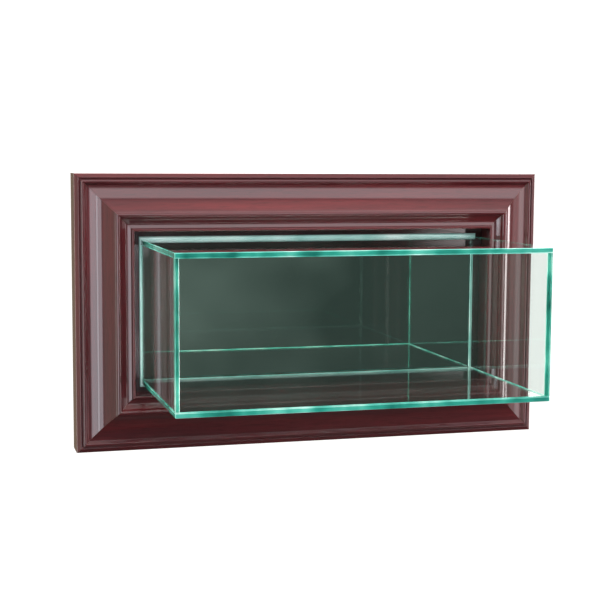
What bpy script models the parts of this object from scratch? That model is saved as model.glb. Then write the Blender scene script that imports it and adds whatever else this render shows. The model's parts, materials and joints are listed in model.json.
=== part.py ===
"""Wall-mounted display case: a glass hood on a mirror, in a mitred picture-frame moulding.

Units are metres. +X is right, +Z is up and -Y is the front, seen by someone facing the wall.
The origin is the middle of the frame on the wall's surface, where the rubber bumpers rest.
"Inset" is a distance inwards from the frame's outer edge, and "depth" is a distance from the
seat plane (the hood's open rear edges and the mirror's face) back towards the wall.
"""

from math import acos, cos, pi, radians, sin

import bmesh
import bpy
from mathutils import Matrix, Vector

MM = 0.001
GAP = 0.3 * MM

FRAME_WIDTH = 358 * MM
FRAME_HEIGHT = 203 * MM
SIGHT_INSET = 41.7 * MM
BUMPER_THICKNESS = 5 * MM
FRAME_REAR_DEPTH = 16 * MM
SEAT_Y = -(BUMPER_THICKNESS + FRAME_REAR_DEPTH)

HOOD_WIDTH = 261 * MM
HOOD_HEIGHT = 106 * MM
HOOD_DEPTH = 140 * MM
PANE = 3.2 * MM
PANE_ARRIS = 0.25 * MM
WOOD_ARRIS = 0.2 * MM
BOARD_ARRIS = 0.6 * MM

RABBET_INSET = 31 * MM
LEDGE_INSET = 20 * MM
STRIP_THICKNESS = 3 * MM
MIRROR_THICKNESS = 3.2 * MM
BOARD_THICKNESS = 6 * MM
BOARD_DEPTH = STRIP_THICKNESS + 2 * GAP
LEDGE_DEPTH = BOARD_DEPTH + BOARD_THICKNESS + GAP

BUTTON_INSET = 25.5 * MM
BUTTON_THICKNESS = 1.5 * MM
BUTTON_PIVOT_RADIUS = 5 * MM
BUTTON_TIP_RADIUS = 3 * MM
BUTTON_REACH = 11 * MM
BUTTON_HOLE_RADIUS = 1.9 * MM
BUTTON_SPACING = 75 * MM

# Head radius, head height and length below the head.
BUTTON_SCREW = (3.3 * MM, 1.9 * MM, 12.5 * MM)
HANGER_SCREW = (3.1 * MM, 1.5 * MM, 13.5 * MM)
SHANK_RADIUS = 1.45 * MM
SCREW_TIP = 2.2 * MM
PILOT_RADIUS = 1.8 * MM
PILOT_SPARE = 1 * MM

HANGER_X = FRAME_WIDTH / 2 - 10 * MM
HANGER_Z = 58 * MM
STRAP_WIDTH = 9 * MM
STRAP_THICKNESS = 0.8 * MM
STRAP_LENGTH = 30 * MM
STRAP_TAIL = 29 * MM
STRAP_PINCH_START = 4.6 * MM
STRAP_PINCH_END = 5.6 * MM
STRAP_HOLE_RADIUS = 1.9 * MM
RING_WIRE_RADIUS = 1.1 * MM
RING_HALF_WIDTH = 6.6 * MM
RING_CORNER_RADIUS = 2 * MM
RING_BOW_HEIGHT = 5 * MM
RING_AXIS_LIFT = 2.5 * MM
HANGER_SCREW_DROPS = (12 * MM, 24 * MM)

BUMPER_RADIUS = 6 * MM
BUMPER_FACE_RADIUS = 4.4 * MM
BUMPER_EDGE_RADIUS = 5.3 * MM
BUMPER_EDGE_DROP = 0.5 * MM
BUMPER_X = 140 * MM
BUMPER_INSET = 10 * MM

NAIL_THICKNESS = 0.6 * MM
NAIL_LEG = 4.5 * MM
NAIL_LENGTH = 7 * MM
NAIL_INSETS = (6 * MM, 14 * MM)

REAR_CORNER_RADIUS = 0.4 * MM
FILLET_STEP = radians(18)

# The front of the moulding's section from the outer edge inwards, in millimetres: inset,
# height in front of the seat plane and fillet radius. The cove lies between the two groups.
OUTER_PROFILE = (
    (0.0, 5.7, 1.3),
    (3.4, 7.5, 0.5),
    (3.6, 6.4, 0.3),
    (4.9, 6.4, 0.3),
    (5.1, 8.9, 0.8),
    (6.7, 8.9, 0.8),
    (8.7, 7.0, 0.4),
    (9.8, 7.1, 0.4),
)
INNER_PROFILE = (
    (29.7, 19.7, 2.2),
    (32.4, 15.0, 1.6),
    (36.0, 12.6, 2.6),
    (39.6, 13.4, 0.5),
    (39.9, 16.4, 0.7),
    (41.7, 16.4, 0.8),
)
COVE_START = (9.8, 7.1)
COVE_END = (27.6, 15.6)
COVE_RADIUS = 30.0
COVE_STEPS = 14


class Finishes:
    """One Principled material for each substance, made once."""

    CHERRY = ("glossy_cherry", (0.085, 0.012, 0.013), 0.0, 0.18, 1.0)
    STAINED = ("stained_strip", (0.050, 0.012, 0.012), 0.0, 0.45, 1.0)
    GLASS = ("clear_glass", (0.80, 0.95, 0.90), 0.0, 0.03, 0.25)
    MIRROR = ("silvered_glass", (0.80, 0.85, 0.82), 1.0, 0.02, 1.0)
    BOARD = ("fibreboard", (0.25, 0.15, 0.08), 0.0, 0.75, 1.0)
    ZINC = ("zinc_plate", (0.62, 0.62, 0.60), 1.0, 0.35, 1.0)
    NICKEL = ("nickel_plate", (0.68, 0.66, 0.62), 1.0, 0.22, 1.0)
    STEEL = ("bright_steel", (0.55, 0.55, 0.55), 1.0, 0.40, 1.0)
    RUBBER = ("bumper_rubber", (0.035, 0.035, 0.035), 0.0, 0.80, 1.0)


def finish(spec):
    """The material that a Finishes entry describes."""
    name, colour, metallic, roughness, alpha = spec
    material = bpy.data.materials.get(name)
    if material is None:
        material = bpy.data.materials.new(name)
        material.use_nodes = True
        shader = material.node_tree.nodes["Principled BSDF"]
        shader.inputs["Base Color"].default_value = (*colour, 1.0)
        shader.inputs["Metallic"].default_value = metallic
        shader.inputs["Roughness"].default_value = roughness
        shader.inputs["Alpha"].default_value = alpha
    return material


def clear_scene():
    for item in list(bpy.data.objects):
        bpy.data.objects.remove(item, do_unlink=True)


def new_collection(name):
    collection = bpy.data.collections.new(name)
    bpy.context.scene.collection.children.link(collection)
    return collection


def add_object(name, mesh, collection, spec):
    item = bpy.data.objects.new(name, mesh)
    collection.objects.link(item)
    if not item.data.materials:
        item.data.materials.append(finish(spec))
    return item


def add_cutter(name, mesh, collection):
    cutter = bpy.data.objects.new(name, mesh)
    collection.objects.link(cutter)
    cutter.hide_render = True
    cutter.display_type = "WIRE"
    return cutter


def cut_with(item, cutters):
    """Leaves every hole in the cutters' collection open in this object."""
    modifier = item.modifiers.new("cuts", "BOOLEAN")
    modifier.operation = "DIFFERENCE"
    modifier.solver = "EXACT"
    modifier.operand_type = "COLLECTION"
    modifier.collection = cutters


# Outlines


def filleted(corners):
    """The outline through (x, y, radius) corners with each corner rounded to its radius."""
    points = []
    for i, (x, y, radius) in enumerate(corners):
        corner = Vector((x, y))
        if radius == 0:
            points.append(corner)
            continue
        before = (Vector(corners[i - 1][:2]) - corner).normalized()
        after = (Vector(corners[(i + 1) % len(corners)][:2]) - corner).normalized()
        half = before.angle(after) / 2
        reach = radius / abs(sin(half) / cos(half))
        centre = corner + (before + after).normalized() * (radius / sin(half))
        start = corner + before * reach - centre
        turn = start.angle_signed(corner + after * reach - centre)
        steps = max(2, int(abs(turn) / FILLET_STEP))
        for k in range(steps + 1):
            angle = -turn * k / steps
            points.append(centre + Matrix.Rotation(angle, 2) @ start)
    return points


def hollow_arc(start, end, radius, steps):
    """Points after the start, up to the end, of an arc that sags below their chord."""
    start, end = Vector(start), Vector(end)
    chord = end - start
    middle = (start + end) / 2
    normal = Vector((-chord.y, chord.x)).normalized()
    rise = (radius**2 - (chord.length / 2) ** 2) ** 0.5
    centre = middle + normal * rise
    first = start - centre
    turn = first.angle_signed(end - centre)
    angles = (-turn * k / steps for k in range(1, steps + 1))
    return [centre + Matrix.Rotation(angle, 2) @ first for angle in angles]


def moulding_section():
    """The whole section, in metres, as (inset, height in front of the seat plane)."""
    cove = hollow_arc(COVE_START, COVE_END, COVE_RADIUS, COVE_STEPS)
    front = OUTER_PROFILE + tuple((p.x, p.y, 0.0) for p in cove) + INNER_PROFILE
    corners = [tuple(value * MM for value in corner) for corner in front]
    corners += [
        (SIGHT_INSET, 0.0, 0.0),
        (RABBET_INSET, 0.0, 0.0),
        (RABBET_INSET, -LEDGE_DEPTH, 0.0),
        (LEDGE_INSET, -LEDGE_DEPTH, 0.0),
        (LEDGE_INSET, -FRAME_REAR_DEPTH, 0.0),
        (0.0, -FRAME_REAR_DEPTH, REAR_CORNER_RADIUS),
    ]
    return filleted(corners)


def teardrop(pivot_radius, tip_radius, reach, steps=12):
    """A round end at the origin and a smaller one at +X, joined by their tangents."""
    lean = acos((pivot_radius - tip_radius) / reach)
    points = []
    for k in range(steps + 1):
        angle = lean + (2 * pi - 2 * lean) * k / steps
        points.append(Vector((cos(angle), sin(angle))) * pivot_radius)
    for k in range(steps + 1):
        angle = -lean + 2 * lean * k / steps
        points.append(Vector((reach + cos(angle) * tip_radius, sin(angle) * tip_radius)))
    return points


def circle(radius, steps=16):
    turns = (2 * pi * k / steps for k in range(steps))
    return [Vector((cos(a) * radius, sin(a) * radius)) for a in turns]


def plate_mesh(name, outlines, thickness):
    """A flat plate in the local XY plane, centred on it: the first outline with holes."""
    curve = bpy.data.curves.new(name, "CURVE")
    curve.dimensions = "2D"
    curve.fill_mode = "BOTH"
    curve.extrude = thickness / 2
    for outline in outlines:
        spline = curve.splines.new("POLY")
        spline.points.add(len(outline) - 1)
        for point, place in zip(spline.points, outline):
            point.co = (place.x, place.y, 0.0, 1.0)
        spline.use_cyclic_u = True
    holder = bpy.data.objects.new(name, curve)
    bpy.context.scene.collection.objects.link(holder)
    bpy.context.view_layer.update()
    ready = holder.evaluated_get(bpy.context.evaluated_depsgraph_get())
    mesh = bpy.data.meshes.new_from_object(ready)
    bpy.data.objects.remove(holder)
    shape = bmesh.new()
    shape.from_mesh(mesh)
    bmesh.ops.remove_doubles(shape, verts=shape.verts, dist=1e-6)
    bmesh.ops.recalc_face_normals(shape, faces=shape.faces)
    shape.to_mesh(mesh)
    shape.free()
    return mesh


def box_mesh(name, low, high):
    size = Vector(high) - Vector(low)
    middle = (Vector(high) + Vector(low)) / 2
    shape = bmesh.new()
    place = Matrix.Translation(middle) @ Matrix.Diagonal((*size, 1.0))
    bmesh.ops.create_cube(shape, size=1.0, matrix=place)
    mesh = bpy.data.meshes.new(name)
    shape.to_mesh(mesh)
    shape.free()
    return mesh


def add_box(name, low, high, collection, spec, arris):
    """A square-cut piece whose edges are eased by the arris."""
    item = add_object(name, box_mesh(name, low, high), collection, spec)
    bevel = item.modifiers.new("eased edges", "BEVEL")
    bevel.width = arris
    bevel.segments = 1
    return item


def turned_mesh(name, profile, steps):
    """A solid of revolution about local Z from (radius, z) points, top to bottom."""
    mesh = bpy.data.meshes.new(name)
    edges = [(i, i + 1) for i in range(len(profile) - 1)]
    mesh.from_pydata([(r, 0.0, z) for r, z in profile], edges, [])
    holder = bpy.data.objects.new(name, mesh)
    bpy.context.scene.collection.objects.link(holder)
    screw = holder.modifiers.new("turn", "SCREW")
    screw.steps = steps
    screw.render_steps = steps
    screw.use_merge_vertices = True
    screw.merge_threshold = 1e-6
    bpy.context.view_layer.update()
    ready = holder.evaluated_get(bpy.context.evaluated_depsgraph_get())
    turned = bpy.data.meshes.new_from_object(ready)
    bpy.data.objects.remove(holder)
    shape = bmesh.new()
    shape.from_mesh(turned)
    bmesh.ops.remove_doubles(shape, verts=shape.verts, dist=1e-6)
    bmesh.ops.recalc_face_normals(shape, faces=shape.faces)
    shape.to_mesh(turned)
    shape.free()
    return turned


def cylinder_mesh(name, radius, low, high, segments=12):
    shape = bmesh.new()
    place = Matrix.Translation((0.0, 0.0, (low + high) / 2))
    bmesh.ops.create_cone(
        shape,
        cap_ends=True,
        segments=segments,
        radius1=radius,
        radius2=radius,
        depth=high - low,
        matrix=place,
    )
    mesh = bpy.data.meshes.new(name)
    shape.to_mesh(mesh)
    shape.free()
    return mesh


def towards_wall(x, y, z):
    """Turns local +Z to face the wall (+Y), with local X kept and local Y pointing down."""
    return Matrix.Translation((x, y, z)) @ Matrix.Rotation(-pi / 2, 4, "X")


# The frame's moulding


def moulding_mesh(name, length):
    """A length of moulding along X, centred, its outer edge at z = 0 and the rest below it,
    mitred at both ends, in its place relative to the seat plane at y = 0."""
    mesh = plate_mesh(name, [moulding_section()], length)
    # Local x is the inset, local y the height to the front and local z the length.
    stand = Matrix(((0, 0, 1, 0), (0, -1, 0, 0), (-1, 0, 0, 0), (0, 0, 0, 1)))
    shape = bmesh.new()
    shape.from_mesh(mesh)
    bmesh.ops.transform(shape, matrix=stand, verts=shape.verts)
    if stand.determinant() < 0:
        bmesh.ops.reverse_faces(shape, faces=shape.faces)
    for side in (-1, 1):
        normal = Vector((side, 0.0, -1.0)).normalized()
        corner = Vector((side * length / 2, 0.0, 0.0)) - normal * GAP / 2
        everything = shape.verts[:] + shape.edges[:] + shape.faces[:]
        cut = bmesh.ops.bisect_plane(
            shape, geom=everything, plane_co=corner, plane_no=normal, clear_outer=True
        )
        rim = [g for g in cut["geom_cut"] if isinstance(g, bmesh.types.BMEdge)]
        bmesh.ops.contextual_create(shape, geom=rim)
    bmesh.ops.recalc_face_normals(shape, faces=shape.faces)
    shape.to_mesh(mesh)
    shape.free()
    return mesh


def build_frame(case, cutters):
    """Four mitred lengths, with pilot holes and V-nail slots in their backs."""
    half_width, half_height = FRAME_WIDTH / 2, FRAME_HEIGHT / 2
    lengths = {
        "top_rail": (FRAME_WIDTH, half_height, 0),
        "left_stile": (FRAME_HEIGHT, half_width, 90),
        "bottom_rail": (FRAME_WIDTH, half_height, 180),
        "right_stile": (FRAME_HEIGHT, half_width, 270),
    }
    for name, (length, out, turn) in lengths.items():
        mesh = moulding_mesh(name, length)
        place = Matrix.Rotation(-radians(turn), 4, "Y") @ Matrix.Translation((0, 0, out))
        mesh.transform(Matrix.Translation((0, SEAT_Y, 0)) @ place)
        rail = add_object(name, mesh, case, Finishes.CHERRY)
        cut_with(rail, cutters)


def nail_outline(thickness, leg):
    """A V whose apex is at the origin and whose legs run along +X and +Y."""
    reach = leg + thickness / 2
    back = -thickness / 2
    front = thickness / 2
    corners = (
        (back, back),
        (reach, back),
        (reach, front),
        (front, front),
        (front, reach),
        (back, reach),
    )
    return [Vector(c) for c in corners]


def build_corner_nails(case, cutters):
    """Two V-nails in each mitre, their legs along the two lengths that meet there."""
    nail = plate_mesh("v_nail", [nail_outline(NAIL_THICKNESS, NAIL_LEG)], NAIL_LENGTH)
    nail.transform(Matrix.Translation((0, 0, -NAIL_LENGTH / 2 - GAP)))
    slot_outline = nail_outline(NAIL_THICKNESS + 2 * GAP, NAIL_LEG + GAP)
    slot = plate_mesh("v_slot", [slot_outline], NAIL_LENGTH + 2 * PILOT_SPARE)
    slot.transform(Matrix.Translation((0, 0, -NAIL_LENGTH / 2)))
    turns = {"top_right": 0, "top_left": 90, "bottom_left": 180, "bottom_right": 270}
    for corner, turn in turns.items():
        side = 1 if "right" in corner else -1
        level = 1 if "top" in corner else -1
        for place_in, inset in zip(("outer", "inner"), NAIL_INSETS):
            x = side * (FRAME_WIDTH / 2 - inset)
            z = level * (FRAME_HEIGHT / 2 - inset)
            # The V's legs point to the frame's sides, across the mitre.
            upright = Matrix.Rotation(-pi / 2, 4, "X") @ Matrix.Rotation(-pi / 2, 4, "Z")
            spin = Matrix.Rotation(-radians(turn), 4, "Y")
            place = Matrix.Translation((x, -BUMPER_THICKNESS, z)) @ spin @ upright
            name = f"v_nail_{corner}_{place_in}"
            add_object(name, nail, case, Finishes.STEEL).matrix_world = place
            add_cutter(f"{name}_slot", slot, cutters).matrix_world = place


# The glass hood, the mirror and what they sit on


def build_hood(case):
    """Five panes: full-size top and bottom, the front between them, the sides behind it."""
    x, z = HOOD_WIDTH / 2, HOOD_HEIGHT / 2
    rear, front = SEAT_Y, SEAT_Y - HOOD_DEPTH
    inner_z = z - PANE
    between = inner_z - GAP
    panes = {
        "glass_top": ((-x, front, inner_z), (x, rear, z)),
        "glass_bottom": ((-x, front, -z), (x, rear, -inner_z)),
        "glass_front": ((-x, front, -between), (x, front + PANE, between)),
        "glass_left": ((-x, front + PANE + GAP, -between), (-x + PANE, rear, between)),
        "glass_right": ((x - PANE, front + PANE + GAP, -between), (x, rear, between)),
    }
    for name, (low, high) in panes.items():
        add_box(name, low, high, case, Finishes.GLASS, PANE_ARRIS)


def build_back(case):
    """The seat strips round the hood's rear edges, the mirror inside them and the board."""
    outer_x = FRAME_WIDTH / 2 - RABBET_INSET - GAP
    outer_z = FRAME_HEIGHT / 2 - RABBET_INSET - GAP
    inner_x = HOOD_WIDTH / 2 - PANE
    inner_z = HOOD_HEIGHT / 2 - PANE
    front, rear = SEAT_Y + GAP, SEAT_Y + GAP + STRIP_THICKNESS
    side_z = inner_z - GAP
    strips = {
        "seat_strip_top": ((-outer_x, front, inner_z), (outer_x, rear, outer_z)),
        "seat_strip_bottom": ((-outer_x, front, -outer_z), (outer_x, rear, -inner_z)),
        "seat_strip_left": ((-outer_x, front, -side_z), (-inner_x, rear, side_z)),
        "seat_strip_right": ((inner_x, front, -side_z), (outer_x, rear, side_z)),
    }
    for name, (low, high) in strips.items():
        add_box(name, low, high, case, Finishes.STAINED, WOOD_ARRIS)
    mirror_x, mirror_z = inner_x - GAP, side_z - GAP
    mirror_rear = SEAT_Y + BOARD_DEPTH - GAP
    low = (-mirror_x, mirror_rear - MIRROR_THICKNESS, -mirror_z)
    high = (mirror_x, mirror_rear, mirror_z)
    add_box("mirror_panel", low, high, case, Finishes.MIRROR, PANE_ARRIS)
    low = (-outer_x, SEAT_Y + BOARD_DEPTH, -outer_z)
    high = (outer_x, SEAT_Y + BOARD_DEPTH + BOARD_THICKNESS, outer_z)
    add_box("back_board", low, high, case, Finishes.BOARD, BOARD_ARRIS)


# Turn buttons


def button_places():
    """Name, pivot x, pivot z and the angle its long end points at, from +X towards +Z."""
    x = FRAME_WIDTH / 2 - BUTTON_INSET
    z = FRAME_HEIGHT / 2 - BUTTON_INSET
    return (
        ("turn_button_top_left", -BUTTON_SPACING, z, -90),
        ("turn_button_top_right", BUTTON_SPACING, z, -90),
        ("turn_button_bottom_left", -BUTTON_SPACING, -z, 90),
        ("turn_button_bottom_right", BUTTON_SPACING, -z, 90),
        ("turn_button_left", -x, 0.0, 0),
        ("turn_button_right", x, 0.0, 180),
    )


def build_turn_buttons(case, cutters):
    """Six flat buttons, each an object whose origin is on its pivot, and their screws."""
    outlines = [
        teardrop(BUTTON_PIVOT_RADIUS, BUTTON_TIP_RADIUS, BUTTON_REACH),
        circle(BUTTON_HOLE_RADIUS),
    ]
    plate = plate_mesh("turn_button", outlines, BUTTON_THICKNESS)
    lift = SEAT_Y + LEDGE_DEPTH + GAP
    button_y = lift + BUTTON_THICKNESS / 2
    head_y = lift + BUTTON_THICKNESS + GAP
    screw = screw_mesh("dome_screw", *BUTTON_SCREW)
    hole = pilot_mesh(BUTTON_SCREW, BUTTON_THICKNESS + GAP)
    for name, x, z, pointing in button_places():
        button = add_object(name, plate, case, Finishes.ZINC)
        # Local x is the long end, local z faces the wall.
        turn = Matrix.Rotation(-radians(pointing), 4, "Y")
        upright = Matrix.Rotation(-pi / 2, 4, "X")
        button.matrix_world = Matrix.Translation((x, button_y, z)) @ turn @ upright
        head = towards_wall(x, head_y, z)
        add_object(f"{name}_screw", screw, case, Finishes.ZINC).matrix_world = head
        add_cutter(f"{name}_pilot", hole, cutters).matrix_world = head


def pilot_mesh(screw, depth):
    """The hole for a screw's shank, from a depth under its head to past its tip."""
    return cylinder_mesh("pilot", PILOT_RADIUS, -screw[2] - PILOT_SPARE, -depth)


def screw_mesh(name, head_radius, head_height, length):
    """A domed wood screw whose head sits on local z = 0 and whose shank runs to -Z."""
    steps = 5
    profile = []
    for k in range(steps + 1):
        angle = pi / 2 * (1 - k / steps)
        profile.append((head_radius * cos(angle), head_height * (0.25 + 0.75 * sin(angle))))
    profile[0] = (0.0, head_height)
    profile += [
        (head_radius, 0.0),
        (SHANK_RADIUS, 0.0),
        (SHANK_RADIUS, -length + SCREW_TIP),
        (0.0, -length),
    ]
    return turned_mesh(name, profile, 16)


# Hangers


def strap_path():
    """The strap's centre line beside the ring's bar, as (height off the frame, z)."""
    base = GAP + STRAP_THICKNESS / 2
    upper = base + STRAP_THICKNESS + GAP
    radius = RING_AXIS_LIFT - base
    points = [Vector((base, -STRAP_LENGTH)), Vector((base, 0.0))]
    steps = 8
    for k in range(1, steps + 1):
        angle = pi - pi * k / steps
        points.append(Vector((RING_AXIS_LIFT + radius * cos(angle), radius * sin(angle))))
    points.append(Vector((upper + GAP, -STRAP_PINCH_START)))
    points.append(Vector((upper, -STRAP_PINCH_END)))
    points.append(Vector((upper, -STRAP_TAIL)))
    return points


def strap_mesh(name):
    """The folded strap as an open ribbon along its centre line."""
    path = strap_path()
    mesh = bpy.data.meshes.new(name)
    verts = [(side * STRAP_WIDTH / 2, p.x, p.y) for side in (-1, 1) for p in path]
    count = len(path)
    quads = [(i, i + 1, count + i + 1, count + i) for i in range(count - 1)]
    mesh.from_pydata(verts, [], quads)
    mesh.update()
    return mesh


def ring_mesh(name):
    """A D of round wire in the local XZ plane, its straight bar along X through the origin."""
    corner = RING_CORNER_RADIUS
    points = []
    for side, first in ((1, 270), (-1, 180)):
        for k in range(4):
            angle = radians(first + 90 * k / 3)
            x = side * (RING_HALF_WIDTH - corner) + corner * cos(angle)
            points.append((x, 0.0, corner + corner * sin(angle)))
        if side == 1:
            for k in range(13):
                angle = pi * k / 12
                x = RING_HALF_WIDTH * cos(angle)
                points.append((x, 0.0, RING_BOW_HEIGHT + RING_HALF_WIDTH * sin(angle)))
    curve = bpy.data.curves.new(name, "CURVE")
    curve.dimensions = "3D"
    curve.bevel_depth = RING_WIRE_RADIUS
    curve.bevel_resolution = 2
    spline = curve.splines.new("POLY")
    spline.points.add(len(points) - 1)
    for point, place in zip(spline.points, points):
        point.co = (*place, 1.0)
    spline.use_cyclic_u = True
    return curve


def build_hangers(case, cutters):
    """Two D-ring hangers on the stiles' backs: strap, ring on its bar's axis, screws."""
    rear_y = -BUMPER_THICKNESS
    strap_holes = new_collection("strap_cutters")
    head_lift = 2 * STRAP_THICKNESS + 3 * GAP
    screw = screw_mesh("pan_screw", *HANGER_SCREW)
    pilot = pilot_mesh(HANGER_SCREW, STRAP_THICKNESS + 2 * GAP)
    through = cylinder_mesh("strap_hole", STRAP_HOLE_RADIUS, -2 * head_lift, head_lift)
    for name, x in (("left", -HANGER_X), ("right", HANGER_X)):
        strap = add_object(f"hanger_strap_{name}", strap_mesh(name), case, Finishes.NICKEL)
        strap.location = (x, rear_y, HANGER_Z)
        thick = strap.modifiers.new("sheet", "SOLIDIFY")
        thick.thickness = STRAP_THICKNESS
        thick.offset = 0.0
        thick.use_even_offset = True
        cut_with(strap, strap_holes)
        ring = bpy.data.objects.new(f"hanger_ring_{name}", ring_mesh(name))
        case.objects.link(ring)
        ring.data.materials.append(finish(Finishes.NICKEL))
        ring.location = (x, rear_y + RING_AXIS_LIFT, HANGER_Z)
        for level, drop in zip(("upper", "lower"), HANGER_SCREW_DROPS):
            title = f"hanger_screw_{name}_{level}"
            under_head = towards_wall(x, rear_y + head_lift, HANGER_Z - drop)
            add_object(title, screw, case, Finishes.NICKEL).matrix_world = under_head
            add_cutter(f"{title}_pilot", pilot, cutters).matrix_world = under_head
            add_cutter(f"{title}_hole", through, strap_holes).matrix_world = under_head


# Wall bumpers


def build_bumpers(case):
    """Four rubber pads on the rails' backs, whose flat faces rest on the wall."""
    profile = [
        (0.0, BUMPER_THICKNESS),
        (BUMPER_FACE_RADIUS, BUMPER_THICKNESS),
        (BUMPER_EDGE_RADIUS, BUMPER_THICKNESS - BUMPER_EDGE_DROP),
        (BUMPER_RADIUS, GAP),
        (0.0, GAP),
    ]
    for side, x in (("left", -BUMPER_X), ("right", BUMPER_X)):
        for level, sign in (("top", 1), ("bottom", -1)):
            name = f"wall_bumper_{level}_{side}"
            z = sign * (FRAME_HEIGHT / 2 - BUMPER_INSET)
            bumper = add_object(name, turned_mesh(name, profile, 24), case, Finishes.RUBBER)
            bumper.matrix_world = towards_wall(x, -BUMPER_THICKNESS, z)


def shade_round(case):
    """Smooth shading on curved faces, with the square edges kept sharp."""
    for item in case.objects:
        if item.type == "MESH":
            item.data.shade_smooth()
            item.data.set_sharp_from_angle(angle=radians(30))


def main():
    clear_scene()
    case = new_collection("wall_display_case")
    cutters = new_collection("frame_cutters")
    build_corner_nails(case, cutters)
    build_turn_buttons(case, cutters)
    build_hangers(case, cutters)
    build_frame(case, cutters)
    build_hood(case)
    build_back(case)
    build_bumpers(case)
    shade_round(case)
    bpy.context.view_layer.update()


main()
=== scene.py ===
"""Looks of a wall-mounted display case: glass hood, mirror and glossy cherry moulding.

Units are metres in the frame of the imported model: +X right, +Z up and -Y out of the wall.
The seat plane is where the hood's open rear edges meet the mirror's face.
"""

import json
import logging
from dataclasses import dataclass
from enum import Enum
from math import acos, cos, degrees, pi, radians, sin

import bmesh
import bpy
from mathutils import Matrix, Quaternion, Vector


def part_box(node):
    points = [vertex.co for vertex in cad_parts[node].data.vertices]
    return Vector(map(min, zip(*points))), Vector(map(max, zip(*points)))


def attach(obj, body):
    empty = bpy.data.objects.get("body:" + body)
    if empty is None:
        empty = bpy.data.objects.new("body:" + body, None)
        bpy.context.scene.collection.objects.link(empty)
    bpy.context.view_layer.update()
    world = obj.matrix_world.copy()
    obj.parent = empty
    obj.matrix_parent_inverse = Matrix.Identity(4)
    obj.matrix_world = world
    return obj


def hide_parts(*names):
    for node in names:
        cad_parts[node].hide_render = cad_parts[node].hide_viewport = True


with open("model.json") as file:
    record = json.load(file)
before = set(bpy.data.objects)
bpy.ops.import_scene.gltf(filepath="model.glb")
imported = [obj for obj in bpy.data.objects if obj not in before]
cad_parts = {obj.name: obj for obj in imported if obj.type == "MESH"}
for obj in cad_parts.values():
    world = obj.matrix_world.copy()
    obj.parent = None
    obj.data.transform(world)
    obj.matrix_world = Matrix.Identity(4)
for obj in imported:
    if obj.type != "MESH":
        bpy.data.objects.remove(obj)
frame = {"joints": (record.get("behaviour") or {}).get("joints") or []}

log = logging.getLogger("display_case")

MM = 0.001

Tree = bpy.types.NodeTree
Socket = bpy.types.NodeSocket
Mesh = bpy.types.Mesh
Material = bpy.types.Material


class Axis(Enum):
    """A row axis, for the run of the grain or the thin side of a pane."""

    X = 0
    Y = 1
    Z = 2


class Level(Enum):
    """High or low on the case."""

    TOP = "top"
    BOTTOM = "bottom"


class Side(Enum):
    """Left or right on the case, seen from its front."""

    LEFT = "left"
    RIGHT = "right"


class WoodFace(Enum):
    """The material slots of a length of moulding."""

    LACQUERED = 0
    BARE = 1


class PaneFace(Enum):
    """The material slots of a pane."""

    BROAD = 0
    EDGE = 1
    ARRIS = 2
    REAR = 3


class MirrorFace(Enum):
    """The material slots of the mirror."""

    SILVERED = 0
    EDGE = 1
    PAINTED = 2


# Shared helpers


def linear(hex_colour: str) -> tuple[float, float, float, float]:
    """Turns an sRGB hex colour into a linear RGBA tuple.

    Args:
        hex_colour: six hex digits after a hash sign.

    Returns:
        The linear red, green and blue, with alpha 1.
    """
    channels = []
    for start in (1, 3, 5):
        value = int(hex_colour[start : start + 2], 16) / 255
        low = value / 12.92
        high = ((value + 0.055) / 1.055) ** 2.4
        channels.append(low if value <= 0.04045 else high)
    return (*channels, 1.0)


def add_node(
    tree: Tree,
    kind: str,
    inputs: dict[str | int, object] | None = None,
    out: str | None = None,
    stops: dict[float, str] | None = None,
    **settings: object,
) -> Socket | None:
    """Adds a node with its settings, and sets or links its inputs.

    Args:
        tree: the node tree that the node joins.
        kind: the node's type name, after ShaderNode.
        inputs: input name or index to a value, or to an output socket to link.
        out: the output to return, if it isn't the first in use.
        stops: a ramp's places from 0 to 1, each with its hex colour.
        settings: properties of the node.

    Returns:
        The output socket, or None from a node without one.
    """
    node = tree.nodes.new(f"ShaderNode{kind}")
    for name, value in settings.items():
        setattr(node, name, value)
    for key, value in (inputs or {}).items():
        if isinstance(key, int):
            socket = node.inputs[key]
        else:
            socket = next(s for s in node.inputs if s.enabled and s.name == key)
        if isinstance(value, Socket):
            tree.links.new(value, socket)
        else:
            socket.default_value = value
    if stops:
        while len(node.color_ramp.elements) < len(stops):
            node.color_ramp.elements.new(0.5)
        for mark, place in zip(node.color_ramp.elements, sorted(stops)):
            mark.position = place
            mark.color = linear(stops[place])
    live = [s for s in node.outputs if s.enabled and out in (None, s.name)]
    return live[0] if live else None


def new_material(name: str) -> tuple[Material, Tree]:
    """Makes an empty node material.

    Args:
        name: the material's name.

    Returns:
        The material and its node tree.
    """
    material = bpy.data.materials.new(name)
    material.use_nodes = True
    material.node_tree.nodes.clear()
    return material, material.node_tree


def pattern(
    tree: Tree,
    size_mm: float,
    stretch: tuple[float, float, float] = (1.0, 1.0, 1.0),
    detail: float = 3.0,
    roughness: float = 0.5,
) -> Socket:
    """Lays a cloudy pattern whose features have a real size.

    Args:
        tree: the node tree.
        size_mm: the size of a feature across the stretch.
        stretch: how many times longer a feature is along X, Y and Z.
        detail: octaves of finer pattern.
        roughness: how strong the finer octaves are.

    Returns:
        The pattern's value, from 0 to 1.
    """
    place = add_node(tree, "TexCoord", out="Object")
    scale = tuple(1 / s for s in stretch)
    inputs = {
        "Vector": add_node(tree, "Mapping", {"Vector": place, "Scale": scale}),
        "Scale": 1 / (size_mm * MM),
        "Detail": detail,
        "Roughness": roughness,
    }
    return add_node(tree, "TexNoise", inputs)


def grain_run(grain: Axis, times: float) -> tuple[float, float, float]:
    """The stretch of a grain that is some times longer along its axis than across."""
    return tuple(times if axis is grain else 1.0 for axis in Axis)


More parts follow.
